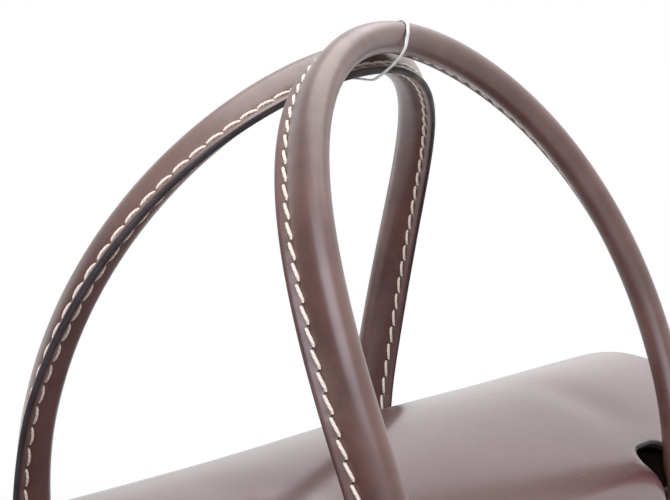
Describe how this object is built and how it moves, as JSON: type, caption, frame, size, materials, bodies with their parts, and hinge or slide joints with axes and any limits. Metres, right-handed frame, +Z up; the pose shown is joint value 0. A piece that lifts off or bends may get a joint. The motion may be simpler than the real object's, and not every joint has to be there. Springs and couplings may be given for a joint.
{
  "type": "leather satchel",
  "caption": "Structured leather satchel with rolled carrying handles, a crowned magnetic flap, folding gussets, a cloth lining with a slip pocket and metal feet.",
  "frame": {"origin": "the middle of the bag on the plane that its four feet stand on", "axes": "+Z up, +X along the bag from its left end to its right end as seen from the front, -Y towards the front, where the flap closes"},
  "size_m": [0.366, 0.156, 0.4137],
  "materials": {
    "leather": "glazed dark brown leather",
    "handle_leather": "smooth brown leather, painted edges, cream saddle stitching",
    "suede": "napped brown leather",
    "cloth": "tan woven lining",
    "cord": "cotton piping cord",
    "board": "stiff fibre board",
    "thread": "clear nylon thread",
    "nickel": "polished nickel plate",
    "magnet": "plated magnet disc"
  },
  "bodies": {
    "bag": {"front_panel": "leather", "back_panel": "leather", "left_gusset": "leather", "right_gusset": "leather", "base_panel": "leather", "base_board": "board", "foot_left_front": "nickel", "foot_left_back": "nickel", "foot_right_front": "nickel", "foot_right_back": "nickel", "lining": "cloth", "slip_pocket": "cloth", "panel_magnet_left": "magnet", "panel_magnet_right": "magnet", "front_left_tab": "handle_leather", "front_right_tab": "handle_leather", "back_left_tab": "handle_leather", "back_right_tab": "handle_leather"},
    "flap": {"flap": "leather", "flap_lining": "suede", "flap_magnet_left": "magnet", "flap_magnet_right": "magnet"},
    "front_handle": {"front_handle_cover": "handle_leather", "front_handle_core": "cord", "handle_thread": "thread"},
    "back_handle": {"back_handle_cover": "handle_leather", "back_handle_core": "cord"}
  },
  "joints": [
    {"name": "flap_fold", "type": "hinge", "parent": "bag", "child": "flap", "pos_m": [0, 0.052, 0.26613], "axis": [-1, 0, 0], "range_deg": [0, 50]},
    {"name": "front_handle_fold", "type": "hinge", "parent": "bag", "child": "front_handle", "pos_m": [0, -0.06615, 0.248], "axis": [1, 0, 0], "range_deg": [0, 150], "deforming": ["handle_thread"]},
    {"name": "back_handle_fold", "type": "hinge", "parent": "bag", "child": "back_handle", "pos_m": [0, 0.06615, 0.248], "axis": [-1, 0, 0], "range_deg": [0, 150], "deforming": ["handle_thread"]}
  ]
}
